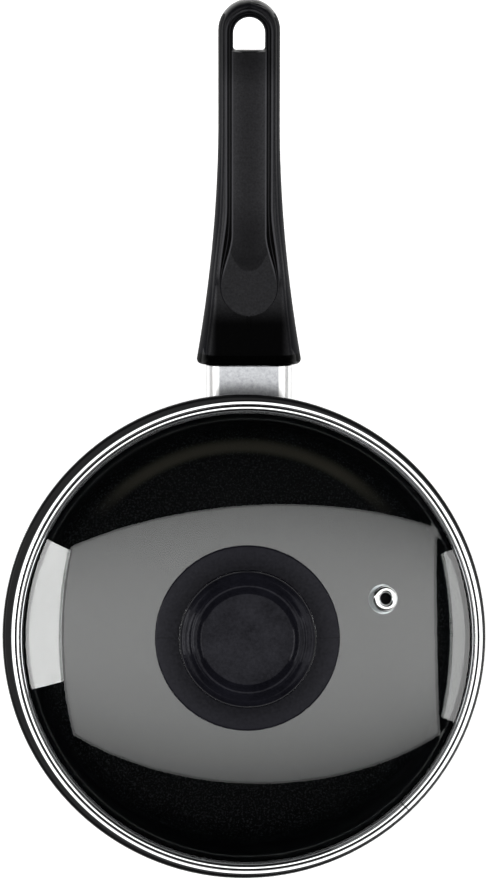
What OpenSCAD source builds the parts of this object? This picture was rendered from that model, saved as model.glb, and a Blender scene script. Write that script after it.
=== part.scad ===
// Saucepan with a glass lid: drawn pan, screwed-on moulded handle, domed lid with a moulded knob.
// Origin at the centre of the base on the surface it stands on, +Z up, handle along +Y.

/* [Pan] */
// Inner radius of the pan at its rim
pan_r = 88; // [75:1:110]
// Depth inside, from the floor to the top of the lip
pan_depth = 80; // [65:1:120]
// How much narrower the inside is at the floor than at the rim
pan_taper = 2; // [0.5:0.5:5]
// Thickness of the wall
pan_wall = 1.8; // [1.2:0.1:3]
// Thickness of the base
base_t = 2.6; // [1.8:0.1:5]
// Inner radius between floor and wall
corner_r = 12; // [6:1:20]
// How far the rolled lip stands out from the wall
lip_reach = 3.8; // [3:0.1:5]
// Height of the rolled lip
lip_drop = 4; // [3.2:0.1:6]
// Thickness of the metal in the rolled lip
lip_t = 1.3; // [0.8:0.1:1.4]
// Radius of the lip's outer bend
lip_bend = 1.9; // [1.5:0.1:2.5]
// Radius of the wall's inner top edge
rim_edge = 1.4; // [0.8:0.1:1.6]

/* [Base rings] */
// Number of shallow rings turned into the underside
ring_count = 5; // [2:1:6]
// Inner radius of the first ring
ring_first = 20; // [14:1:24]
// Distance from one ring to the next
ring_pitch = 10; // [6:0.5:10]
// Width of each ring
ring_w = 2; // [1:0.5:3]
// Depth of each ring
ring_depth = 0.4; // [0.2:0.1:0.8]

/* [Lid glass] */
// Thickness of the glass
glass_t = 4; // [3:0.5:5]
// Rise of the glass from its edge to its crown
dome_rise = 22.7; // [16:0.5:32]
// Radius of the hole for the knob's collar
knob_hole_r = 5.5; // [4.5:0.5:7]
// Radius of the steam hole in the glass
vent_hole_r = 2.9; // [2.5:0.1:4]
// Ground edge of the glass
glass_edge = 0.6; // [0.3:0.1:1]

/* [Lid band] */
// Play between the lid's skirt and the pan wall, all round
lid_play = 1.8; // [1:0.1:2.5]
// How far the lid has slid across its play, 0 centred and 1 touching
lid_slide = 0.72; // [0:0.02:0.8]
// Direction in which the lid has slid
lid_slide_angle = -24; // [-180:6:180]
// Thickness of the band's sheet
band_t = 0.5; // [0.3:0.05:0.6]
// Radial depth of the channel that holds the glass, from the skirt
band_channel = 3.3; // [2.6:0.1:4]
// Width of the flange that rests on the pan, outside the channel
band_flange = 2.1; // [1.9:0.1:4]
// Depth of the skirt below the rim
band_skirt = 4.5; // [3:0.5:8]
// Radius of the bead that is rolled over the edge of the glass
band_bead = 0.85; // [0.7:0.05:1]
// Width of the hem that lies on the glass inside the bead
band_hem = 0.9; // [0.6:0.1:1.5]

/* [Steam vent] */
// Distance of the vent from the lid's centre
vent_dist = 54.5; // [45:0.5:65]
// Angle of the vent round the lid
vent_angle = 15.7; // [-180:0.1:180]
// Inner radius of the eyelet's tube
vent_bore_r = 2.1; // [1.5:0.1:2.2]
// Outer radius of the eyelet's rolled head
vent_head_r = 5; // [4.5:0.1:6.5]
// Thickness of the eyelet's sheet
vent_t = 0.35; // [0.25:0.05:0.4]

/* [Knob] */
// Outer radius of the knob's skirt
skirt_r = 35; // [28:0.5:42]
// Thickness of the skirt at its edge
skirt_t = 2.2; // [1.6:0.1:3]
// Rise of the skirt's top from its edge to the neck
skirt_rise = 5; // [4:0.1:6]
// Outer radius of the knob's head
head_r = 25.6; // [22:0.2:30]
// Height of the knob's head
head_h = 13.5; // [11:0.1:16]
// Radius of the lip round the head's top
head_lip_r = 19.5; // [18:0.1:21]
// Radius of the sunken disc in the head's top
head_disc_r = 16.4; // [12:0.1:17]
// Depth of the sunken disc
head_sink = 2; // [1:0.1:3]
// Radius of the neck between skirt and head
neck_r = 9.5; // [8:0.1:12]
// Height of the knob's top above the crown of the glass
knob_h = 30; // [27:0.5:36]

/* [Handle] */
// Length of the handle along its axis
handle_len = 143; // [125:1:170]
// Tilt of the handle above the level
handle_tilt = 12; // [4:1:18]
// How far the middle of the handle's mouth lies below the rim
handle_drop = 22.6; // [21:0.2:28]
// Sideways place of the handle's axis, as welded
handle_side = 2; // [-3:0.5:3]
// Full width at the mouth
mouth_w = 42; // [38:0.2:48]
// Half height at the mouth
mouth_h = 13.2; // [12.5:0.1:16]
// Full width at the far end
end_w = 24.2; // [22.5:0.1:30]
// Half height at the far end
end_h = 8.5; // [7.5:0.1:11]
// Distance over which the handle narrows from its mouth
taper_len = 95; // [80:1:110]
// Hollow of the handle's line between its ends
handle_sag = 2; // [0:0.1:4]
// Half width of the fluted panel
panel_w = 6.8; // [5.6:0.1:7]
// Depth of the flute along the panel
flute_depth = 1.4; // [0.4:0.1:1.4]
// Depth of the grooves beside the panel
groove_depth = 1.1; // [0.5:0.1:1.5]
// Radius of the thumb rest
thumb_r = 11; // [10:0.1:12]
// Distance of the thumb rest's centre from the mouth
thumb_at = 31.2; // [26:0.2:32]
// Step from the thumb rest down to the handle's front
thumb_step = 1.1; // [0.4:0.1:1.2]
// Half width of the hang hole
hole_w = 6.25; // [4.5:0.05:6.3]
// Length of the hang hole
hole_len = 12.7; // [10:0.1:16]
// Resin between the hang hole and the handle's end
hole_end = 7.1; // [6.5:0.1:10]
// Width of the hang hole's bevel on top
hole_bevel = 1.7; // [0.8:0.1:1.8]

/* [Ferrule and bracket] */
// Distance from the pan wall to the handle's mouth
ferrule_len = 18; // [15:0.5:26]
// Full width of the ferrule
ferrule_w = 34; // [30:0.5:36]
// Full height of the ferrule
ferrule_h = 19; // [17:0.5:20]
// Corner radius of the ferrule
ferrule_r = 6; // [4:0.5:8]
// Thickness of the ferrule's sheet
ferrule_t = 0.8; // [0.5:0.1:1.2]
// Width of the bracket's tongue
tongue_w = 16; // [12:0.5:20]
// Thickness of the bracket's tongue
tongue_t = 3.2; // [2.5:0.1:4]
// How deep the tongue reaches into the handle
tongue_in = 26; // [22:0.5:34]
// Thickness of the bracket's weld plate
plate_t = 2.5; // [1.5:0.1:3.5]

/* [Screws] */
// Thread radius of both screws
screw_r = 2.45; // [1.95:0.05:2.7]
// Radius of the screw heads
screw_head_r = 4.6; // [4.2:0.1:5]
// Height of the screw heads
screw_head_h = 2.8; // [2:0.1:3.2]
// Distance of the handle's screw from the mouth
screw_at = 14; // [12:0.5:16]
// Length of the handle's brass insert
insert_len = 6.5; // [5:0.1:7]
// Outer radius of both brass inserts
insert_r = 3.6; // [3.5:0.1:4.2]
// Length of the knob's brass insert
knob_insert_len = 12; // [9:0.5:15]
// Thickness of the flat washer under the lid
washer_t = 1; // [0.6:0.1:1.5]
// Outer radius of the flat washer under the lid
washer_r = 9; // [7.5:0.5:12]
// Thickness of the spring washers
spring_t = 1.2; // [0.8:0.1:1.6]
// Thickness of the silicone gasket's flange on the glass
gasket_t = 1.2; // [0.8:0.1:2]

/* [Hidden] */

// Clearances
seat_gap = 0.1;      // between the lid's flange and the pan's lip
sheet_gap = 0.05;    // between pieces clamped or rolled together
screw_gap = 0.05;    // between a screw and the piece it is driven into
pass_gap = 0.3;      // round a screw or tongue that passes through a piece
eps = 0.01;
over = 1;            // how far a cutting shape runs past what it cuts

// Derived sizes of the pan
pan_h = base_t + pan_depth;
lip_r = pan_r + pan_wall + lip_reach;
wall_slope = pan_taper / pan_depth;
function wall_in(z) = pan_r - wall_slope * (pan_h - z);
function wall_out(z) = wall_in(z) + pan_wall;

// Derived sizes of the lid, measured from the face that rests on the pan
lid_shift = lid_play * lid_slide;
band_skirt_r = pan_r - lid_play;
channel_r = band_skirt_r + band_channel;
lid_r = channel_r + band_flange;
glass_r = channel_r - band_t - sheet_gap;
dome_r = (glass_r * glass_r + dome_rise * dome_rise) / (2 * dome_rise);
under_r = dome_r - glass_t;
glass_low_r = glass_r - glass_edge;
dome_z = band_t + sheet_gap - sqrt(under_r * under_r - glass_low_r * glass_low_r);
crown_z = dome_z + dome_r;
function dome_top(r) = dome_z + sqrt(dome_r * dome_r - r * r);
function dome_under(r) = dome_z + sqrt(under_r * under_r - r * r);
washer_top = dome_under(washer_r) - sheet_gap;
spring_top = washer_top - washer_t;
lid_head_top = spring_top - spring_t;
insert_low = crown_z + gasket_t;

// The eyelet's washer: its edge meets the glass first, because the dome curves down round it
vent_ring_r = vent_head_r + 0.6;
vent_ring_t = 0.5;
vent_ring_z = sqrt(under_r * under_r - vent_ring_r * vent_ring_r) - dome_r - sheet_gap - vent_ring_t;

// Derived places of the handle
mouth_z = pan_h - handle_drop;
mouth_y = wall_out(mouth_z) + ferrule_len;
end_r = end_w / 2;
end_at = handle_len - end_r;
hole_at = handle_len - hole_end - hole_w;
groove_out = panel_w + 1.7;
rail_w = 0.9;
slot_h = tongue_t / 2 + pass_gap;
seat_wall = 4.6;             // resin between the tongue's slot and the screw's seat
seat_z = -slot_h - seat_wall;

// ---------- profiles ----------

// Points of an arc round c
function arc(c, r, a0, a1, n) =
    [for (i = [0:n]) let (a = a0 + (a1 - a0) * i / n) c + r * [cos(a), sin(a)]];

// Unit direction from p to q
function heading(p, q) = (q - p) / norm(q - p);

// Direction across a path at its point i
function across(path, i) =
    let (last = len(path) - 1,
         a = i == 0 ? heading(path[0], path[1]) : heading(path[i - 1], path[i]),
         b = i == last ? a : heading(path[i], path[i + 1]),
         m = a + b)
    [-m[1], m[0]] / norm(m);

// Outline of sheet metal of thickness t, rolled along a path
function strip(path, t) = concat(
    [for (i = [0:len(path) - 1]) path[i] + across(path, i) * t / 2],
    [for (i = [len(path) - 1:-1:0]) path[i] - across(path, i) * t / 2]);

// Smooth rise from 0 at a to 1 at b
function ease(a, b, v) = let (s = min(1, max(0, (v - a) / (b - a)))) s * s * (3 - 2 * s);

module lid_place() {
    translate([lid_shift * cos(lid_slide_angle), lid_shift * sin(lid_slide_angle), pan_h + seat_gap])
        children();
}

module handle_place() {
    translate([handle_side, mouth_y, mouth_z]) rotate([handle_tilt, 0, 0]) children();
}

module vent_place() {
    rotate([0, 0, vent_angle]) translate([0, 0, dome_z])
        rotate([0, asin(vent_dist / dome_r), 0]) translate([0, 0, dome_r]) children();
}

module ring(r_in, r_out, h) {
    difference() {
        cylinder(r = r_out, h = h, $fn = 96);
        translate([0, 0, -over]) cylinder(r = r_in, h = h + 2 * over, $fn = 96);
    }
}

// ---------- pan ----------

module pan_body() color("#1a1a1c") {
    outer_corner = corner_r + pan_wall;
    low_out = wall_out(outer_corner);
    low_in = wall_in(base_t + corner_r);
    curl_r = lip_r - lip_t;
    under_lip = pan_h - lip_t;
    neck = wall_out(under_lip - 1);
    bend_in = lip_bend - lip_t;
    difference() {
        rotate_extrude($fn = 180) polygon(concat(
            [[0, 0], [low_out - outer_corner, 0]],
            arc([low_out - outer_corner, outer_corner], outer_corner, -80, 0, 8),
            arc([neck + 1, under_lip - 1], 1, 180, 90, 5),
            arc([curl_r - bend_in, under_lip - bend_in], bend_in, 90, 0, 5),
            arc([lip_r - lip_t / 2, pan_h - lip_drop + lip_t / 2], lip_t / 2, 180, 360, 8),
            arc([lip_r - lip_bend, pan_h - lip_bend], lip_bend, 0, 90, 8),
            arc([pan_r + rim_edge, pan_h - rim_edge], rim_edge, 90, 180, 6),
            arc([low_in - corner_r, base_t + corner_r], corner_r, 0, -90, 10),
            [[0, base_t]]));
        for (i = [0:ring_count - 1])
            translate([0, 0, -over])
                ring(ring_first + i * ring_pitch, ring_first + i * ring_pitch + ring_w, over + ring_depth);
    }
}

// Wall-shaped band between two distances from the pan's wall
module wall_band(d0, d1) {
    rotate_extrude($fn = 180) polygon([
        [wall_out(0) + d0, 0], [wall_out(0) + d1, 0],
        [wall_out(pan_h) + d1, pan_h], [wall_out(pan_h) + d0, pan_h]]);
}

// Everything inside the pan's outer wall, and d beyond it
module wall_core(d) {
    rotate_extrude($fn = 180) polygon([
        [0, -over], [wall_out(-over) + d, -over], [wall_out(pan_h) + d, pan_h], [0, pan_h]]);
}

// ---------- handle fixing ----------

module rounded_tube(w, h, r, len) {
    rotate([90, 0, 0]) linear_extrude(len) {
        square([w - 2 * r, h], center = true);
        square([w, h - 2 * r], center = true);
        for (x = [-1, 1], z = [-1, 1])
            translate([x * (w / 2 - r), z * (h / 2 - r)]) circle(r = r, $fn = 48);
    }
}

module handle_bracket() color("#b9bcc0") {
    plate_w = ferrule_w - 2 * ferrule_t - 6;
    plate_h = ferrule_h - 2 * ferrule_t - 4;
    back = ferrule_len + 2 * pan_wall + mouth_h;
    difference() {
        union() {
            intersection() {
                wall_band(sheet_gap, plate_t);
                handle_place() rounded_tube(plate_w, plate_h, 3, back);
            }
            difference() {
                handle_place() translate([-tongue_w / 2, -back, -tongue_t / 2])
                    cube([tongue_w, back + tongue_in, tongue_t]);
                wall_core(sheet_gap);
            }
        }
        handle_place() translate([0, screw_at, -tongue_t])
            cylinder(r = screw_r + pass_gap, h = 2 * tongue_t, $fn = 48);
    }
}

module flame_guard() color("#c9ccd0") {
    back = ferrule_len + 2 * pan_wall + mouth_h;
    difference() {
        handle_place() translate([0, -sheet_gap, 0]) difference() {
            rounded_tube(ferrule_w, ferrule_h, ferrule_r, back);
            translate([0, over, 0])
                rounded_tube(ferrule_w - 2 * ferrule_t, ferrule_h - 2 * ferrule_t,
                             ferrule_r - ferrule_t, back + 2 * over);
        }
        wall_core(sheet_gap);
    }
}

// ---------- handle ----------

mouth_round = 4;     // rounding of the mouth's upper and lower edges
mouth_side = 2;      // rounding of the mouth's sides
flute_end = thumb_at + 7.2;
flute_r = panel_w * panel_w / (2 * flute_depth);
front_drop = 1.8;    // fall of the top from the thumb rest to the mouth

// Share of the mouth's extra width or height that is left at distance t
function flare(t) = pow(max(0, 1 - t / taper_len), 1.9);
function rounding(r, t) = t >= r ? 0 : r - sqrt(r * r - (r - t) * (r - t));
function half_w(t) = end_r + (mouth_w / 2 - end_r) * flare(t) - rounding(mouth_side, t);
function half_h(t) = end_h + (mouth_h - end_h) * flare(t) - rounding(mouth_round, t);
function axis_z(t) = -handle_sag * sin(180 * min(1, t / handle_len));
function side_z(t) = axis_z(t) - 0.1 * half_h(t);

// Half width of the raised panel, which opens into the round thumb rest
function panel_edge(t) =
    t < thumb_at ? sqrt(max(0, thumb_r * thumb_r - pow(thumb_at - t, 2)))
                 : thumb_r - (thumb_r - panel_w) * ease(thumb_at, thumb_at + 21, t);

// Inner edge of the outer rail, which meets the thumb rest at its widest
function rail_edge(t) = groove_out + (thumb_r + 0.6 - groove_out) * (1 - ease(thumb_at, thumb_at + 32, t))
    + 1.6 * (1 - ease(0, thumb_at, t));

// Height of the top without grooves, q from the axis
function plateau(q, t) = axis_z(t) + half_h(t) - 0.6 * pow(q / (rail_edge(t) + rail_w), 2);
function front(t) = thumb_step * (1 - ease(thumb_at - 1, thumb_at + 5, t))
    + front_drop * pow(max(0, 1 - t / thumb_at), 2);
function flute(q, t) = max(0, min(flute_depth, 0.25 * (t - flute_end)) - q * q / (2 * flute_r));
function groove(t) = groove_depth * ease(thumb_at, thumb_at + 8, t);

// Height of the handle's top at distance q from its axis, or from the end's centre
function top_z(q, t) =
    let (p = max(0.3, panel_edge(t)), e = rail_edge(t), s = e + rail_w, w = half_w(t))
    q <= p ? plateau(q, t) - flute(q, t) - (t < thumb_at - thumb_r ? front(t) : 0)
    : q < e - eps ? plateau(q, t) - front(t) - groove(t)
    : q <= s + eps ? plateau(q, t) - front(t) - 0.15 * abs(q - e - rail_w / 2) / rail_w
    : let (f = min(1, (q - s) / (w - s)), z = side_z(t))
      z + (plateau(s, t) - front(t) - 0.25 - z) * sqrt(1 - f * f);

function under_z(q, t) =
    let (f = min(1, q / half_w(t)), z = side_z(t))
    z - (z - axis_z(t) + half_h(t)) * pow(1 - pow(f, 2.4), 1 / 2.4);

// Columns of the top, from the axis out to the side
flank_steps = 6;
function top_columns(t) =
    let (p = max(0.5, panel_edge(t)), e = rail_edge(t), s = e + rail_w, w = half_w(t), f = panel_w - 0.1)
    concat([0, min(0.4 * f, 0.4 * p), min(0.75 * f, 0.75 * p), min(f, 0.96 * p)],
           [p, p + 0.35, e - 0.35, e, e + rail_w / 2, s],
           [for (i = [1:flank_steps]) s + (w - s) * sin(90 * i / flank_steps)]);
function under_columns(t) = [for (i = [1:5]) half_w(t) * pow(cos(90 * i / 6), 0.8)];

// Distance across for a column q at a place u beyond the end's centre
function spread(q, u, k) = k == 0 ? 0 : sqrt(max(pow(0.05 * k, 2), q * q - u * u));

function section(t) =
    let (u = max(0, t - end_at), b = min(t, end_at), top = top_columns(b), low = under_columns(b),
         n = len(top) - 1,
         up = [for (k = [0:n]) let (x = spread(top[k], u, k)) [x, t, top_z(sqrt(x * x + u * u), b)]],
         dn = [for (k = [0:4]) let (x = spread(low[k], u, n - 1 - 2 * k))
               [x, t, under_z(sqrt(x * x + u * u), b)]])
    concat([up[0]], [for (k = [1:n]) up[k]], dn, [[0, t, under_z(u, b)]],
           [for (k = [4:-1:0]) [-dn[k][0], t, dn[k][2]]],
           [for (k = [n:-1:1]) [-up[k][0], t, up[k][2]]]);

// Places of the sections: close together where the form turns quickly
stations = concat(
    [for (a = [0:18:90]) mouth_round * (1 - cos(a))],
    [7, 10.5, 14],
    [for (a = [2:11:90]) thumb_at - thumb_r * cos(a)],
    [for (i = [0:9]) thumb_at + 1 + 1.1 * i],
    [for (i = [1:8]) thumb_at + 11 + 2.2 * i],
    [for (i = [1:11]) thumb_at + 28.6 + (end_at - thumb_at - 28.6) * i / 11],
    [for (a = [8:8:80]) end_at + end_r * sin(a)],
    [end_at + 0.998 * end_r]);

module loft(rows) {
    n = len(rows[0]);
    m = len(rows);
    polyhedron(
        points = [for (r = rows) each r],
        faces = concat(
            [[for (i = [0:n - 1]) i]],
            [for (j = [0:m - 2], i = [0:n - 1], half = [0, 1])
                let (a = j * n + i, b = j * n + (i + 1) % n)
                half == 0 ? [a, a + n, b] : [b, a + n, b + n]],
            [[for (i = [n - 1:-1:0]) (m - 1) * n + i]]),
        convexity = 8);
}

// Outline of the hang hole: round towards the end, square towards the pan
module hang_outline(w, back, r) {
    translate([0, hole_at]) circle(r = w, $fn = 64);
    translate([-w, hole_at - back + r]) square([2 * w, back - r]);
    translate([-w + r, hole_at - back]) square([2 * (w - r), back]);
    for (x = [-1, 1]) translate([x * (w - r), hole_at - back + r]) circle(r = r, $fn = 32);
}

module handle() color("#1f1f21") {
    back = hole_len - hole_w;
    bevel_h = 2.4;
    rim_z = axis_z(end_at) + end_h - 0.5;
    handle_place() difference() {
        loft([for (t = stations) section(t)]);
        // hang hole, and its bevel on top
        translate([0, 0, -end_h - 2 * handle_sag]) linear_extrude(3 * end_h) hang_outline(hole_w, back, 1.2);
        hull() {
            translate([0, 0, rim_z - bevel_h]) linear_extrude(eps) hang_outline(hole_w, back, 1.2);
            translate([0, 0, rim_z]) linear_extrude(over) hang_outline(hole_w + hole_bevel, back + 0.6, 1.4);
        }
        // slot for the tongue
        translate([-tongue_w / 2 - pass_gap, -over, -slot_h])
            cube([tongue_w + 2 * pass_gap, over + tongue_in + pass_gap, 2 * slot_h]);
        // bore and counterbore of the screw, and the insert's seat
        translate([0, screw_at, -2 * mouth_h]) {
            cylinder(r = screw_head_r + pass_gap, h = 2 * mouth_h + seat_z, $fn = 64);
            cylinder(r = screw_r + pass_gap, h = 2 * mouth_h, $fn = 64);
        }
        translate([0, screw_at, 0]) cylinder(r = insert_r, h = slot_h + insert_len, $fn = 64);
    }
}

// Brass insert with knurl grooves, its mouth at z = 0
module brass_insert(len) color("#b08d45") {
    groove_r = insert_r - 0.3;
    difference() {
        cylinder(r = insert_r, h = len, $fn = 64);
        for (z = [0.35, 0.65]) translate([0, 0, z * len - 0.4]) ring(groove_r, insert_r + over, 0.8);
        translate([0, 0, -over]) cylinder(r = screw_r + screw_gap, h = len + 2 * over, $fn = 64);
    }
}

// Pan-head screw, its head's seat at z = 0 and its shank upwards
module screw(len) color("#c2c5c9") {
    slot_w = 1;
    difference() {
        union() {
            translate([0, 0, -screw_head_h]) rotate_extrude($fn = 64) polygon(concat(
                [[0, 0], [screw_head_r - 1.2, 0]],
                arc([screw_head_r - 1.2, 1.2], 1.2, -72, 0, 5),
                [[screw_head_r, screw_head_h], [0, screw_head_h]]));
            cylinder(r = screw_r, h = len - 0.6, $fn = 64);
            translate([0, 0, len - 0.6]) cylinder(r1 = screw_r, r2 = screw_r - 0.6, h = 0.6, $fn = 64);
        }
        for (a = [0, 90]) rotate([0, 0, a])
            translate([-screw_r, -slot_w / 2, -screw_head_h - over])
                cube([2 * screw_r, slot_w, over + 0.6 * screw_head_h]);
    }
}

// Split spring washer
module spring_washer() color("#b5b8bc") {
    difference() {
        ring(screw_r + pass_gap, screw_head_r, spring_t);
        translate([0, -0.5, -over]) cube([2 * screw_head_r, 1, spring_t + 2 * over]);
    }
}

module handle_insert() handle_place() translate([0, screw_at, slot_h]) brass_insert(insert_len);

module handle_lock_washer() handle_place() translate([0, screw_at, seat_z - spring_t]) spring_washer();

module handle_screw() handle_place() translate([0, screw_at, seat_z - spring_t])
    screw(slot_h + insert_len - 0.5 - seat_z + spring_t);

// ---------- lid ----------

module lid_glass() color("#cfe0de", 0.35) lid_place() {
    a_rim = asin(glass_low_r / dome_r);
    b_rim = asin(glass_low_r / under_r);
    difference() {
        rotate_extrude($fn = 180) polygon(concat(
            [for (i = [0:20]) let (a = asin(knob_hole_r / dome_r), b = a + (a_rim - a) * i / 20)
                [dome_r * sin(b), dome_z + dome_r * cos(b)]],
            [[glass_r, dome_top(glass_low_r) - glass_edge], [glass_r, dome_under(glass_low_r) + glass_edge]],
            [for (i = [20:-1:0]) let (a = asin(knob_hole_r / under_r), b = a + (b_rim - a) * i / 20)
                [under_r * sin(b), dome_z + under_r * cos(b)]]));
        vent_place() translate([0, 0, -2 * glass_t]) cylinder(r = vent_hole_r, h = 4 * glass_t, $fn = 64);
    }
}

module lid_rim() color("#d5d7da") lid_place() {
    h = band_t / 2;
    wall_c = channel_r - h;
    hem_r = dome_r + sheet_gap + h;
    bead_r = wall_c - 2 * band_bead;
    bead_z = dome_z + sqrt(hem_r * hem_r - bead_r * bead_r) + 0.2;
    tip_a = asin((bead_r - band_hem) / hem_r);
    end_a = asin((bead_r - 0.1) / hem_r);
    cove = 1.1;          // radius between the bead's wall and the flange
    fold = 0.3;
    top_z0 = 3 * h + 2 * fold - band_t;
    skirt_c = band_skirt_r - h;
    path = concat(
        [for (i = [0:3]) let (a = tip_a + (end_a - tip_a) * i / 3)
            [hem_r * sin(a), dome_z + hem_r * cos(a)]],
        arc([bead_r + band_bead, bead_z], band_bead, 140, 0, 9),
        arc([wall_c + cove, top_z0 + cove], cove, 180, 270, 7),
        arc([lid_r - h - fold, h + fold], fold, 90, -90, 6),
        arc([skirt_c + 0.6, h - 0.6], 0.6, 90, 180, 5),
        arc([skirt_c - 0.8, 0.8 - band_skirt], 0.8, 0, -60, 4));
    rotate_extrude($fn = 180) polygon(strip(path, band_t));
}

module vent_eyelet() color("#d0d2d5") lid_place() vent_place() {
    h = vent_t / 2;
    tube_c = vent_bore_r + h;
    bead = (vent_head_r - h - tube_c) / 2;
    curl = 0.7;
    low = vent_ring_z - sheet_gap - h;
    path = concat(
        arc([tube_c + bead, h + sheet_gap], bead, 0, 180, 12),
        arc([tube_c + curl, low], curl, 180, 345, 10));
    rotate_extrude($fn = 96) polygon(strip(path, vent_t));
}

module vent_washer() color("#c4c6ca") lid_place() vent_place() translate([0, 0, vent_ring_z])
    ring(vent_bore_r + vent_t + sheet_gap, vent_ring_r, vent_ring_t);

module knob() color("#161617") lid_place() {
    rest_z = dome_top(skirt_r) + pass_gap;
    edge_z = rest_z + skirt_t;
    neck_fillet = 3;
    neck_z = edge_z + skirt_rise;
    top = crown_z + knob_h;
    head_low = top - head_h;
    boss_r = 2.4 * insert_r;
    cavity = 1.6;        // air space between skirt and glass
    difference() {
        rotate_extrude($fn = 180) polygon(concat(
            [[0, insert_low], [boss_r, insert_low]],
            [for (i = [0:6]) let (r = boss_r + (skirt_r - 2.4 - boss_r) * i / 6) [r, dome_top(r) + cavity]],
            [[skirt_r - 2, dome_top(skirt_r - 2) + pass_gap], [skirt_r - 0.4, rest_z]],
            arc([skirt_r - 0.9, edge_z - 0.9], 0.9, 0, 80, 5),
            arc([neck_r + neck_fillet, neck_z + neck_fillet], neck_fillet, -97, -180, 6),
            arc([neck_r + 5, head_low - 5], 5, 180, 96, 7),
            arc([head_r - 4.5, head_low + 4.4], 4.5, -84, 0, 7),
            [for (i = [1:8]) let (a = 90 * i / 8, w = head_r - head_lip_r - 1)
                [head_lip_r + 1 + w * pow(cos(a), 0.8), head_low + 4.4 + (top - head_low - 4.9) * sin(a)]],
            arc([head_lip_r, top - 0.9], 0.9, 60, 125, 4),
            [[head_disc_r + 0.6, top - head_sink + 0.25], [head_disc_r, top - head_sink], [0, top - head_sink]]));
        translate([0, 0, insert_low - over]) cylinder(r = insert_r, h = over + knob_insert_len, $fn = 64);
        translate([0, 0, insert_low]) cylinder(r = screw_r + pass_gap, h = knob_insert_len + 1.5, $fn = 64);
    }
}

module knob_insert() lid_place() translate([0, 0, insert_low]) brass_insert(knob_insert_len);

module lid_gasket() color("#2a2a2c") lid_place() {
    collar_r = knob_hole_r - sheet_gap;
    low = washer_top + sheet_gap;
    difference() {
        union() {
            translate([0, 0, crown_z]) cylinder(r = 2.3 * insert_r, h = gasket_t - sheet_gap, $fn = 96);
            translate([0, 0, low]) cylinder(r = collar_r, h = crown_z + eps - low, $fn = 96);
        }
        translate([0, 0, low - over])
            cylinder(r = screw_r + pass_gap, h = glass_t + gasket_t + 3 * over, $fn = 96);
    }
}

module lid_washer() color("#c4c6ca") lid_place() translate([0, 0, spring_top])
    ring(screw_r + pass_gap, washer_r, washer_t);

module lid_spring_washer() lid_place() translate([0, 0, lid_head_top]) spring_washer();

module lid_screw() lid_place() translate([0, 0, lid_head_top])
    screw(insert_low + knob_insert_len - 1 - lid_head_top);

pan_body();
handle_bracket();
flame_guard();
handle();
handle_insert();
handle_lock_washer();
handle_screw();
lid_glass();
lid_rim();
vent_eyelet();
vent_washer();
knob();
knob_insert();
lid_gasket();
lid_washer();
lid_spring_washer();
lid_screw();
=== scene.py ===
# Saucepan with a glass lid: finishes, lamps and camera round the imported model.
from math import pi, radians

import bpy
from mathutils import Matrix, Vector


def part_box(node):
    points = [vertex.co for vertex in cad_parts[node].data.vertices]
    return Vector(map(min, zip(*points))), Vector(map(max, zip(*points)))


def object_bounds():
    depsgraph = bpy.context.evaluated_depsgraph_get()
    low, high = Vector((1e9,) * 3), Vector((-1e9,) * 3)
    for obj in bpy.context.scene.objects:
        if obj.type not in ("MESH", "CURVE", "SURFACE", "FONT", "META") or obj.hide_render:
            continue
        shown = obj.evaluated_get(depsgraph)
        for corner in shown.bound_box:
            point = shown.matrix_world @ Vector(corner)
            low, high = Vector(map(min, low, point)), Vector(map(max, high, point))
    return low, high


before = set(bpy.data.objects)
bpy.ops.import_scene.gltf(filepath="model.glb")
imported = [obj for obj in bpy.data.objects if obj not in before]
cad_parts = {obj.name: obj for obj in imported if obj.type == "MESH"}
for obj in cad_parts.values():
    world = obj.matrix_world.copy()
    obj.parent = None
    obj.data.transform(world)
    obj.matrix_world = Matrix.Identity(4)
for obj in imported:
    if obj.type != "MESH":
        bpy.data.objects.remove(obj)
cadBox = [list(corner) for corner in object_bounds()]
print("frame loaded:", len(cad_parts), "nodes")

mm = 0.001
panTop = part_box("pan_body")[1]
rimR, rimZ = panTop.x, panTop.z


def toLinear(code):
    # an sRGB hex colour as linear RGBA
    channels = [int(code[i:i + 2], 16) / 255 for i in (1, 3, 5)]
    return [c / 12.92 if c <= 0.04045 else ((c + 0.055) / 1.055) ** 2.4 for c in channels] + [1]


def addNode(tree, kind, inputs=None, **settings):
    # adds a node with its settings, and links each input that is given as a node or a socket
    # a Mix node has its factor at 0, its numbers at 2 and 3, and its colours at 6 and 7
    node = tree.nodes.new(kind)
    for name, value in settings.items():
        setattr(node, name, value)
    for key, value in (inputs or {}).items():
        if isinstance(value, bpy.types.Node):
            value = value.outputs[0]
        if isinstance(value, bpy.types.NodeSocket):
            tree.links.new(value, node.inputs[key])
        else:
            node.inputs[key].default_value = value
    return node


def emptyTree(owner):
    # the node tree of a new material or world, with nothing in it
    owner.use_nodes = True
    owner.node_tree.nodes.clear()
    return owner.node_tree


def startMaterial(name, shaderInputs):
    # a new material with one Principled shader, its tree and its Object coordinates
    material = bpy.data.materials.new(name)
    tree = emptyTree(material)
    shader = addNode(tree, "ShaderNodeBsdfPrincipled", shaderInputs)
    addNode(tree, "ShaderNodeOutputMaterial", {"Surface": shader})
    place = addNode(tree, "ShaderNodeTexCoord").outputs["Object"]
    return material, tree, shader, place


def stretch(start, stop, first=0, last=1):
    # inputs of a Map Range that goes from first to last between start and stop
    return {"From Min": start, "From Max": stop, "To Min": first, "To Max": last}


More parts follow.
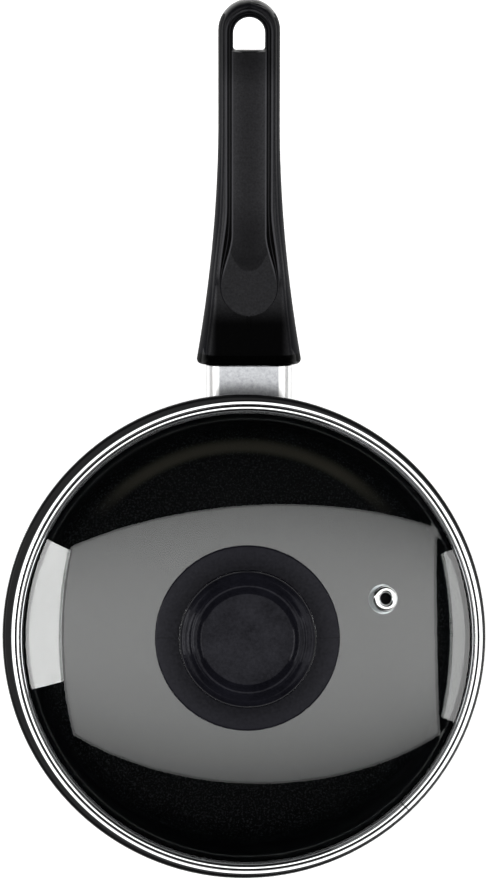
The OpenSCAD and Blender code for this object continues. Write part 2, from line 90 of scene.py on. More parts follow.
def aboutAxis(tree, place, centre):
    # the place in mm from centre, the same laid flat, and the distance from the upright axis there
    local = addNode(tree, "ShaderNodeMapping", {"Vector": place, "Location": centre,
                                                "Scale": (mm, mm, mm)}, vector_type="TEXTURE")
    axes = addNode(tree, "ShaderNodeSeparateXYZ", {0: local})
    flat = addNode(tree, "ShaderNodeCombineXYZ", {0: axes.outputs["X"], 1: axes.outputs["Y"]})
    reach = addNode(tree, "ShaderNodeVectorMath", {0: flat}, operation="LENGTH").outputs["Value"]
    return axes, flat, reach


def setStops(ramp, span, stops):
    # fills a colour ramp over a span of mm: each stop is a distance and a linear colour
    for i, (at, colour) in enumerate(stops):
        stop = ramp.elements[i] if i < 2 else ramp.elements.new(1)
        stop.position = (at - span[0]) / (span[1] - span[0])
        stop.color = colour


camera = {
    "height": 1.1,              # above the rim
    "place": (-0.004, 0.020),   # it hangs over the middle of the pan, a little off it
    "aim": (-0.0002, -0.0012),  # from the middle of the object's box
    "margin": 1.0003,           # the frame's height over the object's length
    "sensor": 24,               # mm high
    "sees": 20,                 # m
}


def addCamera():
    low, high = Vector(cadBox[0]), Vector(cadBox[1])
    target = Vector(((low.x + high.x) / 2 + camera["aim"][0],
                     (low.y + high.y) / 2 + camera["aim"][1], rimZ))
    place = Vector((*camera["place"], rimZ + camera["height"]))
    data = bpy.data.cameras.new("camera")
    eye = bpy.data.objects.new("camera", data)
    bpy.context.scene.collection.objects.link(eye)
    look = target - place
    # the frame's up is the handle's direction, seen square to the line of sight
    back = -look.normalized()
    up = (Vector((0, 1, 0)) - back * back.y).normalized()
    right = up.cross(back)
    rows = [[right[i], up[i], back[i], place[i]] for i in range(3)]
    eye.matrix_world = Matrix(rows + [[0, 0, 0, 1]])
    data.sensor_fit = "VERTICAL"
    data.sensor_height = camera["sensor"]
    data.lens = camera["sensor"] * look.length / ((high.y - low.y) * camera["margin"])
    data.clip_end = camera["sees"]
    bpy.context.scene.camera = eye


addCamera()
print("camera placed")


clothPanel = {
    "half": (1.77, 0.95),       # half its width and depth in m
    "place": (0.20, -0.03, 1.42),
    "cells": 8,                 # along each side
    "glow": 2.15,               # radiance along its middle
    "fade": 0.50,               # how much it dims towards its front and back edges
    "waist": 0.31,              # its right edge is drawn in at the middle
    "sag": 0.14,                # its front edge hangs out at the middle
    "fan": 0.10,                # it widens to the right,
    "fanShift": 0.5,            # more at the back than in front
}


def addPanel():
    # white cloth on a frame overhead, lit from behind, a little out of square
    look = clothPanel
    halfW, halfD = look["half"]
    bpy.ops.object.select_all(action="DESELECT")
    bpy.ops.mesh.primitive_grid_add(x_subdivisions=look["cells"], y_subdivisions=look["cells"],
                                    size=2, location=(0, 0, 0))
    panel = bpy.context.object
    panel.name = "clothPanel"
    for vertex in panel.data.vertices:
        u, v = vertex.co.x, vertex.co.y
        drawnIn = max(u, 0) * look["waist"] * (1 - v * v)
        fanned = u * look["fan"] * (look["fanShift"] + v)
        sagged = look["sag"] * (1 - u * u) * (1 - v) / 2
        vertex.co = Vector(look["place"]) + Vector((u * halfW - drawnIn,
                                                    v * halfD + fanned - sagged, 0))
    material = bpy.data.materials.new("litCloth")
    tree = emptyTree(material)
    place = addNode(tree, "ShaderNodeTexCoord").outputs["Object"]
    axes = addNode(tree, "ShaderNodeSeparateXYZ", {0: place})
    away = addNode(tree, "ShaderNodeMath", {0: axes.outputs["Y"], 1: 2}, operation="POWER")
    strength = addNode(tree, "ShaderNodeMath", {0: away, 1: -look["fade"] * look["glow"],
                                                2: look["glow"]}, operation="MULTIPLY_ADD")
    glow = addNode(tree, "ShaderNodeEmission", {"Color": (1, 1, 1, 1), "Strength": strength})
    addNode(tree, "ShaderNodeOutputMaterial", {"Surface": glow})
    panel.data.materials.append(material)
    panel.visible_camera = False
    panel.visible_shadow = False


windows = {
    # size and place in m, turn about each axis in degrees, and radiance
    "leftWindow": {"size": (0.46, 1.10), "place": (-1.5, 0.15, 1.10), "turn": (0, -90, 0),
                   "glow": 6.5},
    "rightWindow": {"size": (0.43, 1.58), "place": (1.9, -0.03, 1.165), "turn": (0, 90, 0),
                    "glow": 3.5},
}


def addWindow(name):
    look = windows[name]
    data = bpy.data.lights.new(name, "AREA")
    data.shape = "RECTANGLE"
    data.size, data.size_y = look["size"]
    data.energy = look["glow"] * pi * data.size * data.size_y    # radiance, pi and area
    lamp = bpy.data.objects.new(name, data)
    bpy.context.scene.collection.objects.link(lamp)
    lamp.location = look["place"]
    lamp.rotation_euler = [radians(angle) for angle in look["turn"]]
    lamp.visible_camera = False


room = {
    "fill": 0.06,               # what the dark room gives to what is lit
    "horizon": 0.1,             # how far up its white goes, as the sine of the height
    "floorR": 4,                # m
    "floorColour": "#efefee",
    "floorGlow": 0.5,           # added wherever the floor is seen, so that it looks white
}


def addAir():
    # the room is dark above, white at eye level, and plain white behind the object
    world = bpy.data.worlds.new("studioAir")
    bpy.context.scene.world = world
    tree = emptyTree(world)
    rays = addNode(tree, "ShaderNodeLightPath")
    direction = addNode(tree, "ShaderNodeTexCoord").outputs["Generated"]
    height = addNode(tree, "ShaderNodeSeparateXYZ", {0: direction}).outputs["Z"]
    low = addNode(tree, "ShaderNodeMapRange", {"Value": height,
                                               **stretch(0, room["horizon"], 1, 0)},
                  interpolation_type="SMOOTHSTEP")
    through = addNode(tree, "ShaderNodeMath", {0: rays.outputs["Is Glossy Ray"],
                                               1: rays.outputs["Is Transmission Ray"]},
                      operation="MAXIMUM")
    mirrored = addNode(tree, "ShaderNodeMath", {0: through, 1: low}, operation="MULTIPLY")
    seen = addNode(tree, "ShaderNodeMath", {0: rays.outputs["Is Camera Ray"], 1: mirrored},
                   operation="MAXIMUM")
    filled = addNode(tree, "ShaderNodeMath", {0: rays.outputs["Is Diffuse Ray"], 1: room["fill"]},
                     operation="MULTIPLY")
    strength = addNode(tree, "ShaderNodeMath", {0: seen, 1: filled}, operation="MAXIMUM")
    sky = addNode(tree, "ShaderNodeBackground", {"Color": (1, 1, 1, 1), "Strength": strength})
    addNode(tree, "ShaderNodeOutputWorld", {"Surface": sky})


def paperSweep():
    # white background paper: it holds the shadow, and looks white wherever it is seen
    material = bpy.data.materials.new("whitePaperSweep")
    tree = emptyTree(material)
    rays = addNode(tree, "ShaderNodeLightPath")
    lit = addNode(tree, "ShaderNodeBsdfDiffuse", {"Color": toLinear(room["floorColour"])})
    seen = rays.outputs["Is Camera Ray"]
    for name in ("Is Glossy Ray", "Is Transmission Ray"):
        seen = addNode(tree, "ShaderNodeMath", {0: seen, 1: rays.outputs[name]},
                       operation="MAXIMUM")
    boost = addNode(tree, "ShaderNodeMath", {0: seen, 1: room["floorGlow"]}, operation="MULTIPLY")
    glow = addNode(tree, "ShaderNodeEmission", {"Color": (1, 1, 1, 1), "Strength": boost})
    both = addNode(tree, "ShaderNodeAddShader", {0: lit, 1: glow})
    addNode(tree, "ShaderNodeOutputMaterial", {"Surface": both})
    return material


def addFloor():
    bpy.ops.mesh.primitive_circle_add(vertices=96, radius=room["floorR"], fill_type="NGON",
                                      location=(0, 0, 0))
    floor = bpy.context.object
    floor.name = "studioFloor"
    floor.data.materials.append(paperSweep())


addPanel()
for windowName in windows:
    addWindow(windowName)
addAir()
addFloor()
bpy.context.scene.view_settings.view_transform = "Standard"
print("studio lit")


nonStickLook = {
    "flecks": 0.9,              # mm across, drawn a little coarse so that they show
    "coat": "#050506",
    "fleck": "#29292d",
    "filmStarts": (73, 76),     # mm from the pan's axis, where a painted warm reflection lies
    "filmEnds": (77, 81),
    "filmFrom": (45, 68),       # mm towards the handle, where the painted reflection fades in
    "film": "#3a352f",
}


def nonStickInside():
    # PTFE non-stick, sprayed and baked: near black, satin, with fine mineral flecks
    look = nonStickLook
    material, tree, shader, place = startMaterial("nonStickCoating", {
        "Roughness": 0.5, "Specular IOR Level": 0.05})
    flecks = addNode(tree, "ShaderNodeTexNoise", {"Vector": place, "Detail": 2, "Roughness": 0.7,
                                                  "Scale": 1 / (look["flecks"] * mm)})
    tone = addNode(tree, "ShaderNodeMapRange", {"Value": flecks.outputs["Fac"],
                                                **stretch(0.5, 0.72)})
    colour = addNode(tree, "ShaderNodeMix", {0: tone, 6: toLinear(look["coat"]),
                                             7: toLinear(look["fleck"])}, data_type="RGBA")
    # painted reflection: a warm brown band in the corner under the handle
    axes, flat, reach = aboutAxis(tree, place, (0, 0, 0))
    film = 1
    for value, part in ((reach, stretch(*look["filmStarts"])),
                        (reach, stretch(*look["filmEnds"], 1, 0)),
                        (axes.outputs["Y"], stretch(*look["filmFrom"]))):
        edge = addNode(tree, "ShaderNodeMapRange", {"Value": value, **part},
                       interpolation_type="SMOOTHSTEP")
        film = addNode(tree, "ShaderNodeMath", {0: film, 1: edge}, operation="MULTIPLY")
    colour = addNode(tree, "ShaderNodeMix", {0: film, 6: colour.outputs[2],
                                             7: toLinear(look["film"])}, data_type="RGBA")
    tree.links.new(colour.outputs[2], shader.inputs["Base Color"])
    bump = addNode(tree, "ShaderNodeBump", {"Height": flecks.outputs["Fac"], "Strength": 0.15,
                                            "Distance": 0.05 * mm})
    tree.links.new(bump.outputs[0], shader.inputs["Normal"])
    return material


def blackEnamel():
    # high-temperature enamel over aluminium: deep black, smooth, with slightly soft reflections
    material, tree, shader, place = startMaterial("blackEnamel", {"Specular IOR Level": 0.1})
    ripple = addNode(tree, "ShaderNodeTexNoise", {"Vector": place, "Scale": 1 / (3 * mm),
                                                  "Detail": 1}).outputs["Fac"]
    tone = addNode(tree, "ShaderNodeMapRange", {"Value": ripple, "To Min": 0.14, "To Max": 0.2})
    tree.links.new(tone.outputs[0], shader.inputs["Roughness"])
    colour = addNode(tree, "ShaderNodeMix", {0: ripple, 6: toLinear("#0c0c0d"),
                                             7: toLinear("#141415")}, data_type="RGBA")
    tree.links.new(colour.outputs[2], shader.inputs["Base Color"])
    return material


def bareAluminium():
    # turned aluminium: pale, with fine concentric tool marks
    material, tree, shader, place = startMaterial("turnedAluminium", {"Metallic": 1,
                                                                      "Roughness": 0.3})
    marks = addNode(tree, "ShaderNodeTexWave", {"Vector": place, "Scale": 1 / (2.4 * mm),
                                                "Distortion": 0.2},
                    wave_type="RINGS", rings_direction="Z")
    colour = addNode(tree, "ShaderNodeMix", {0: marks.outputs["Fac"], 6: toLinear("#b9bbbd"),
                                             7: toLinear("#d3d5d7")}, data_type="RGBA")
    tree.links.new(colour.outputs[2], shader.inputs["Base Color"])
    return material


knobLook = {
    # distances in mm, and radii about the knob's axis
    "skirt": (25.6, 33.2),      # from where the head ends to the skirt's edge
    # painted shade next to the head, painted light towards the skirt's edge
    "skirtShadeToLight": (0.25, 0.75),
    "resin": ("#07070a", "#17171d"),
    "seam": 0.16,               # half width of the mould's parting line
    "speck": 1.1,               # moulded grain, drawn coarse enough to show
    "speckHeight": 0.004,
    "cloud": 9,                 # broad patches on the head
    # relief of the head's polished shoulder: radius and height
    "shoulder": ((19.0, 0.4), (20.6, 0.4), (21.3, 0.21), (22.0, 0.02), (22.6, 0.02), (23.1, 0.2),
                 (23.6, 0.4), (24.2, 0.9), (25.0, 2.0)),
    "shoulderSpan": (19, 26),
    "shoulderTop": 2,           # the greatest height, which the relief's white stands for
}


def glossPhenolic():
    # compression-moulded phenolic, polished by its mould: black with sharp reflections
    look = knobLook
    material, tree, shader, place = startMaterial("glossPhenolic", {"Specular IOR Level": 0.14})
    knobLow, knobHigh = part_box("knob")
    middle = (knobLow + knobHigh) / 2
    axes, flat, reach = aboutAxis(tree, place, (middle.x, middle.y, 0))
    speck = addNode(tree, "ShaderNodeTexNoise", {"Vector": place, "Detail": 3, "Roughness": 0.65,
                                                 "Scale": 1 / (look["speck"] * mm)}).outputs["Fac"]
    cloud = addNode(tree, "ShaderNodeTexNoise", {"Vector": place, "Detail": 2,
                                                 "Scale": 1 / (look["cloud"] * mm)}).outputs["Fac"]
    # painted shade on the skirt next to the head, and painted light at its edge
    shade = addNode(tree, "ShaderNodeMapRange", {
        "Value": reach, **stretch(*look["skirt"], *look["skirtShadeToLight"])})
    onHead = addNode(tree, "ShaderNodeMath", {0: reach, 1: look["skirt"][0]},
                     operation="LESS_THAN")
    tone = addNode(tree, "ShaderNodeMix", {0: onHead, 2: shade, 3: cloud}, data_type="FLOAT")
    tone = addNode(tree, "ShaderNodeMath", {0: tone, 1: speck}, operation="ADD")
    tone = addNode(tree, "ShaderNodeMapRange", {"Value": tone, **stretch(0.5, 1.5)})
    resin = addNode(tree, "ShaderNodeMix", {0: tone, 6: toLinear(look["resin"][0]),
                                            7: toLinear(look["resin"][1])}, data_type="RGBA")
    # the mould's parting line crosses the skirt on both sides
    gap = addNode(tree, "ShaderNodeMath", {0: axes.outputs["Y"]}, operation="ABSOLUTE")
    line = addNode(tree, "ShaderNodeMapRange", {
        "Value": gap, **stretch(look["seam"] / 2, look["seam"], 1, 0)})
    offHead = addNode(tree, "ShaderNodeMath", {0: 1, 1: onHead}, operation="SUBTRACT")
    line = addNode(tree, "ShaderNodeMath", {0: line, 1: offHead}, operation="MULTIPLY")
    colour = addNode(tree, "ShaderNodeMix", {0: line, 6: resin.outputs[2],
                                             7: toLinear("#020202")}, data_type="RGBA")
    tree.links.new(colour.outputs[2], shader.inputs["Base Color"])
    # the tone, with the skirt's painted shade and light, also sets how strong the reflections are
    dim = addNode(tree, "ShaderNodeMix", {0: tone, 6: toLinear("#86868c"),
                                          7: (0.93, 0.93, 1, 1)}, data_type="RGBA")
    tree.links.new(dim.outputs[2], shader.inputs["Specular Tint"])
    shine = addNode(tree, "ShaderNodeMapRange", {"Value": speck, "To Min": 0.1, "To Max": 0.2})
    tree.links.new(shine.outputs[0], shader.inputs["Roughness"])
    # the head's shoulder rounds over towards its edge
    top = look["shoulderTop"]
    share = addNode(tree, "ShaderNodeMapRange", {"Value": reach, **stretch(*look["shoulderSpan"])})
    rounded = addNode(tree, "ShaderNodeValToRGB", {0: share})
    rounded.color_ramp.interpolation = "B_SPLINE"
    setStops(rounded.color_ramp, look["shoulderSpan"],
             [(at, [height / top] * 3 + [1]) for at, height in look["shoulder"]])
    fall = addNode(tree, "ShaderNodeMath", {0: rounded, 1: top}, operation="MULTIPLY")
    relief = addNode(tree, "ShaderNodeMath", {0: speck, 1: look["speckHeight"], 2: fall},
                     operation="MULTIPLY_ADD")
    bump = addNode(tree, "ShaderNodeBump", {"Height": relief, "Strength": 1, "Distance": mm})
    tree.links.new(bump.outputs[0], shader.inputs["Normal"])
    return material


handleLook = {
    # all in mm, in the handle's own frame: its mouth's middle and its rise in degrees
    "mouth": (2, 107.235, 60),
    "rise": 12,
    "thumbAt": 31.2,
    "thumbR": 11,
    "panelHalf": 6.8,           # half the panel's width, past the thumb rest's taper
    "panelTaper": 21,
    "railAt": 8.5,              # where the rail begins, past the same taper
    "railTaper": 32,
    "railGap": 0.6,             # from the thumb rest to the rail
    "endAt": 129.7,             # the middle of the round end
    "behindThumb": (2, 8),      # where the grooves begin, from the thumb rest's middle
    "fluteEnd": 37.5,           # where the flute runs out on the axis,
    "fluteBow": (2.6, 0.043),   # and how its end curves round: power and factor
    "mouthEdgeShade": (4.3, 4.8, 1, 0),
    "grain": 0.8,               # moulded grain, drawn coarse enough to show
    # crests with a painted highlight: place, then half widths at top and foot and brightness at
    # both
    "panelCrest": (-0.3, (0.1, 0.4, 1, 0)),
    "ridge": (0.0, (0.1, 0.5, 0.45, 0)),
    "railCrest": (0.45, (0.1, 0.55, 1, 0)),
    # what each painted light or shade changes over, and its strength at both ends
    "frontAlong": (16, 29, 1, 0),
    "frontAcross": (12.5, 19, 0.95, 0.1),
    "fluteShade": (12, 30, 0.42, 0),
    "fluteLight": (0, 12, 0, 0.85),
    "farEndShade": (106, 120, 1, 0.55),
    "flankLight": (0.9, 1.6, 0, 0.6),
    "grooveShade": (47, 85, 0.92, 0.45),
    "resin": ("#020202", "#19191d"),
    # the colour of the painted highlights on the crests
    "paintedHighlight": "#3c3c3f",
    # faces turned further aside than the first, or less upwards than the second, are matte
    "matteFrom": (0.8, 0.1),
}


def crestHighlights(tree, pastPanel, pastRail):
    # painted highlights along the panel's edge, the fine ridge along the groove, and the rail
    middle = addNode(tree, "ShaderNodeMath", {0: pastPanel, 1: pastRail}, operation="ADD")
    paintedHighlight = 0
    for value, name in ((pastPanel, "panelCrest"), (pastRail, "railCrest"), (middle, "ridge")):
        at, flank = handleLook[name]
        off = addNode(tree, "ShaderNodeMath", {0: value, 1: at}, operation="SUBTRACT")
        off = addNode(tree, "ShaderNodeMath", {0: off}, operation="ABSOLUTE")
        crest = addNode(tree, "ShaderNodeMapRange", {"Value": off, **stretch(*flank)})
        paintedHighlight = addNode(tree, "ShaderNodeMath", {0: paintedHighlight, 1: crest}, operation="MAXIMUM")
    return paintedHighlight


def handlePhenolic(name, rough, sheen):
    # compression-moulded phenolic: satin black, with painted highlights on its crests and painted
    # light and shade over the rest
    look = handleLook
    material, tree, shader, place = startMaterial(name, {"Specular IOR Level": sheen})
    local = addNode(tree, "ShaderNodeMapping", {
        "Vector": place, "Location": [v * mm for v in look["mouth"]],
        "Rotation": (radians(look["rise"]), 0, 0), "Scale": (mm, mm, mm)}, vector_type="TEXTURE")
    axes = addNode(tree, "ShaderNodeSeparateXYZ", {0: local})
    along = axes.outputs["Y"]
    # distance from the axis, which runs round the middle of the end
    past = addNode(tree, "ShaderNodeMath", {0: along, 1: look["endAt"]}, operation="SUBTRACT")
    past = addNode(tree, "ShaderNodeMath", {0: past, 1: 0}, operation="MAXIMUM")
    flat = addNode(tree, "ShaderNodeCombineXYZ", {0: axes.outputs["X"], 1: past})
    aside = addNode(tree, "ShaderNodeVectorMath", {0: flat}, operation="LENGTH").outputs["Value"]

    # the groove between the panel's edge and the rail
    thumb, thumbR = look["thumbAt"], look["thumbR"]
    behind = addNode(tree, "ShaderNodeMapRange", {
        "Value": along, **stretch(*[thumb + far for far in look["behindThumb"]])})
    panelEdge = addNode(tree, "ShaderNodeMapRange", {
        "Value": along, **stretch(thumb, thumb + look["panelTaper"], thumbR, look["panelHalf"])},
        interpolation_type="SMOOTHSTEP")
    railEdge = addNode(tree, "ShaderNodeMapRange", {
        "Value": along, **stretch(thumb, thumb + look["railTaper"], thumbR + look["railGap"],
                                  look["railAt"])}, interpolation_type="SMOOTHSTEP")
    pastPanel = addNode(tree, "ShaderNodeMath", {0: aside, 1: panelEdge}, operation="SUBTRACT")
    pastRail = addNode(tree, "ShaderNodeMath", {0: aside, 1: railEdge}, operation="SUBTRACT")
    inFrom = addNode(tree, "ShaderNodeMapRange", {"Value": pastPanel, **stretch(-0.1, 0.2)})
    inTo = addNode(tree, "ShaderNodeMapRange", {"Value": pastRail, **stretch(-0.2, 0.1, 1, 0)})
    groove = addNode(tree, "ShaderNodeMath", {0: inFrom, 1: inTo}, operation="MULTIPLY")
    groove = addNode(tree, "ShaderNodeMath", {0: groove, 1: behind}, operation="MULTIPLY")
    paintedHighlight = crestHighlights(tree, pastPanel, pastRail)
    paintedHighlight = addNode(tree, "ShaderNodeMath", {0: paintedHighlight, 1: behind}, operation="MULTIPLY")

    # painted shade on the front, outside the thumb rest, in its colour and its reflections
    flatPlace = addNode(tree, "ShaderNodeCombineXYZ", {0: axes.outputs["X"], 1: along})
    fromThumb = addNode(tree, "ShaderNodeVectorMath", {0: flatPlace, 1: (0, thumb, 0)},
                        operation="DISTANCE").outputs["Value"]
    paintedFrontShade = addNode(tree, "ShaderNodeMapRange", {"Value": fromThumb,
                                                 **stretch(thumbR, thumbR + 0.5)})
    for value, name in ((along, "frontAlong"), (aside, "frontAcross")):
        shade = addNode(tree, "ShaderNodeMapRange", {"Value": value, **stretch(*look[name])},
                        interpolation_type="SMOOTHSTEP")
        paintedFrontShade = addNode(tree, "ShaderNodeMath", {0: paintedFrontShade, 1: shade}, operation="MULTIPLY")

    # painted shade in the flute's round end, below the thumb rest
    bowed = addNode(tree, "ShaderNodeMath", {0: aside, 1: look["fluteBow"][0]}, operation="POWER")
    bowed = addNode(tree, "ShaderNodeMath", {0: bowed, 1: look["fluteBow"][1],
                                             2: look["fluteEnd"]}, operation="MULTIPLY_ADD")
    inFlute = addNode(tree, "ShaderNodeMath", {0: along, 1: bowed}, operation="SUBTRACT")
    inPanel = addNode(tree, "ShaderNodeMapRange", {"Value": pastPanel,
                                                   **stretch(-0.6, -0.2, 1, 0)})
    begins = addNode(tree, "ShaderNodeMapRange", {"Value": inFlute, **stretch(-0.2, 0.5)})
    fades = addNode(tree, "ShaderNodeMapRange", {"Value": inFlute,
                                                 **stretch(*look["fluteShade"])},
                    interpolation_type="SMOOTHSTEP")
    fluteEndShade = addNode(tree, "ShaderNodeMath", {0: begins, 1: fades}, operation="MULTIPLY")
    fluteEndShade = addNode(tree, "ShaderNodeMath", {0: fluteEndShade, 1: inPanel}, operation="MULTIPLY")

    # painted light along the flute's sides and on the flanks, and painted shade towards the hang
    # hole
    steep = addNode(tree, "ShaderNodeMath", {0: aside, 1: look["panelHalf"]}, operation="DIVIDE")
    steep = addNode(tree, "ShaderNodeMath", {0: steep, 1: 2.4}, operation="POWER")
    steep = addNode(tree, "ShaderNodeMath", {0: steep, 1: inPanel}, operation="MULTIPLY")
    inside = addNode(tree, "ShaderNodeMapRange", {"Value": inFlute,
                                                  **stretch(*look["fluteLight"])})
    light = addNode(tree, "ShaderNodeMath", {0: steep, 1: inside, 2: 0.95},
                    operation="MULTIPLY_ADD")
    flank = addNode(tree, "ShaderNodeMapRange", {"Value": pastRail,
                                                 **stretch(*look["flankLight"])})
    light = addNode(tree, "ShaderNodeMath", {0: light, 1: flank}, operation="ADD")
    farEndShade = addNode(tree, "ShaderNodeMapRange", {"Value": along, **stretch(*look["farEndShade"])},
                     interpolation_type="SMOOTHSTEP")
    light = addNode(tree, "ShaderNodeMath", {0: light, 1: farEndShade}, operation="MULTIPLY")
    paintedHighlight = addNode(tree, "ShaderNodeMath", {0: paintedHighlight, 1: farEndShade}, operation="MULTIPLY")
    speck = addNode(tree, "ShaderNodeTexNoise", {"Vector": place, "Detail": 3, "Roughness": 0.7,
                                                 "Scale": 1 / (look["grain"] * mm)}).outputs["Fac"]
    flecks = addNode(tree, "ShaderNodeMapRange", {"Value": speck,
                                                  **stretch(0.3, 0.7, 0.38, 0.72)})
    # the grain times the painted light
    flecks = addNode(tree, "ShaderNodeMath", {0: flecks, 1: light}, operation="MULTIPLY")

    # the deepest of four painted shades counts: in the grooves, on the front, in the flute's end,
    # and on the mouth's edge, which turns under and is painted black
    mouth = addNode(tree, "ShaderNodeMapRange", {"Value": along, **stretch(*look["mouthEdgeShade"])})
    deep = addNode(tree, "ShaderNodeMapRange", {"Value": along, **stretch(*look["grooveShade"])},
                   interpolation_type="SMOOTHSTEP")
    paintedShade = addNode(tree, "ShaderNodeMath", {0: groove, 1: deep}, operation="MULTIPLY")
    for shade in (paintedFrontShade, fluteEndShade, mouth):
        paintedShade = addNode(tree, "ShaderNodeMath", {0: paintedShade, 1: shade}, operation="MAXIMUM")
    shine = addNode(tree, "ShaderNodeMath", {0: 1, 1: paintedShade}, operation="SUBTRACT")
    shine = addNode(tree, "ShaderNodeMath", {0: shine, 1: flecks}, operation="MULTIPLY")
    # the resin's colour follows the painted light and shade
    resin = addNode(tree, "ShaderNodeMix", {0: shine, 6: toLinear(look["resin"][0]),
                                            7: toLinear(look["resin"][1])}, data_type="RGBA")
    # painted highlights on the crests
    colour = addNode(tree, "ShaderNodeMix", {0: paintedHighlight, 6: resin.outputs[2],
                                             7: toLinear(look["paintedHighlight"])}, data_type="RGBA")
    tree.links.new(colour.outputs[2], shader.inputs["Base Color"])
    # the painted light and shade also set how strong the reflections are
    paintedReflectionTint = addNode(tree, "ShaderNodeMix", {0: shine, 6: (0, 0, 0, 1), 7: (1, 1, 1, 1)},
                    data_type="RGBA")
    tree.links.new(paintedReflectionTint.outputs[2], shader.inputs["Specular Tint"])
    polish = addNode(tree, "ShaderNodeMapRange", {"Value": speck, "To Min": rough - 0.06,
                                                  "To Max": rough + 0.06})
    tree.links.new(polish.outputs[0], shader.inputs["Roughness"])
    bump = addNode(tree, "ShaderNodeBump", {"Height": speck, "Strength": 0.35,
                                            "Distance": 0.04 * mm})
    tree.links.new(bump.outputs[0], shader.inputs["Normal"])
    return material


bandLook = {
    # painted shade darkens the hem, the cove and the fold, and the bead and the flange keep the
    # steel's colour: radius in mm and shade
    "shades": ((87.1, "#a8a9ab"), (87.2, "#141414"), (87.35, "#303133"),      # hem and its edge
               (87.6, "#ffffff"), (88.45, "#ffffff"),                         # bead
               (88.6, "#232325"), (89.55, "#232325"),                         # cove
               (89.75, "#ffffff"), (90.9, "#ffffff"), (91.1, "#2a2b2d")),     # flange and fold
    "span": (86, 92),
    # the colour of the skirt's painted shade
    "skirt": "#5a5b5e",
    "skirtBelow": (-0.4, -0.1),     # mm from the pan's rim
    "seamAt": 47,                   # degrees from +X towards the front, where the ends meet
    "seamEdges": (0.1, 0.35),       # mm from the seam's middle
    "seam": "#1e1e1f",
}


def bandShades(tree, place, colour):
    # the painted shade of the folds and the skirt, and the seam's dark line, over the band's own
    # colour
    look = bandLook
    bandLow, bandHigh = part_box("lid_rim")
    middle = (bandLow + bandHigh) / 2
    axes, flat, reach = aboutAxis(tree, place, (middle.x, middle.y, rimZ))
    share = addNode(tree, "ShaderNodeMapRange", {"Value": reach, **stretch(*look["span"])})
    shades = addNode(tree, "ShaderNodeValToRGB", {0: share})
    setStops(shades.color_ramp, look["span"],
             [(at, toLinear(shade)) for at, shade in look["shades"]])
    colour = addNode(tree, "ShaderNodeMix", {0: 1, 6: colour, 7: shades}, data_type="RGBA",
                     blend_type="MULTIPLY").outputs[2]
    # painted shade darkens the skirt inside the pan
    above = addNode(tree, "ShaderNodeMapRange", {"Value": axes.outputs["Z"],
                                                 **stretch(*look["skirtBelow"])})
    colour = addNode(tree, "ShaderNodeMix", {0: above, 6: toLinear(look["skirt"]), 7: colour},
                     data_type="RGBA").outputs[2]
    # the strip's ends meet in a hairline
    turned = addNode(tree, "ShaderNodeVectorRotate", {"Vector": flat,
                                                      "Angle": radians(look["seamAt"])},
                     rotation_type="Z_AXIS")
    ends = addNode(tree, "ShaderNodeSeparateXYZ", {0: turned})
    gap = addNode(tree, "ShaderNodeMath", {0: ends.outputs["Y"]}, operation="ABSOLUTE")
    onSide = addNode(tree, "ShaderNodeMath", {0: ends.outputs["X"], 1: 0},
                     operation="GREATER_THAN")
    line = addNode(tree, "ShaderNodeMapRange", {"Value": gap,
                                                **stretch(*look["seamEdges"], 1, 0)})
    line = addNode(tree, "ShaderNodeMath", {0: line, 1: onSide}, operation="MULTIPLY")
    return addNode(tree, "ShaderNodeMix", {0: line, 6: colour, 7: toLinear(look["seam"])},
                   data_type="RGBA").outputs[2]


def rolledStainless(name, folded):
    # roll-formed stainless strip, bright; on the band, painted shade darkens the folds and the
    # skirt
    material, tree, shader, place = startMaterial(name, {"Metallic": 1})
    haze = addNode(tree, "ShaderNodeTexNoise", {"Vector": place, "Scale": 1 / (5 * mm),
                                                "Detail": 3}).outputs["Fac"]
    tone = addNode(tree, "ShaderNodeMapRange", {"Value": haze, "To Min": 0.05, "To Max": 0.11})
    tree.links.new(tone.outputs[0], shader.inputs["Roughness"])
    colour = addNode(tree, "ShaderNodeMix", {0: haze, 6: toLinear("#dadbdc"),
                                             7: toLinear("#e9e9e8")}, data_type="RGBA").outputs[2]
    if folded:
        colour = bandShades(tree, place, colour)
    tree.links.new(colour, shader.inputs["Base Color"])
    return material


ferruleLook = {
    "mottle": 1.2,              # mm across, the size of the coating's crystals
    "flat": ("#75777b", "#c4c5c7"),
    # the colour of the painted highlight on the flanks
    "flank": "#fbfbfa",
    # mm from the ferrule's middle, and how much of the painted flank highlight shows there
    "flankHighlightStops": ((11.5, "#000000"), (12.1, "#ffffff"), (15.1, "#ffffff"), (15.3, "#000000"),
               (15.7, "#ffffff"), (17.0, "#bbbbbb")),
    "span": (10, 20),
}


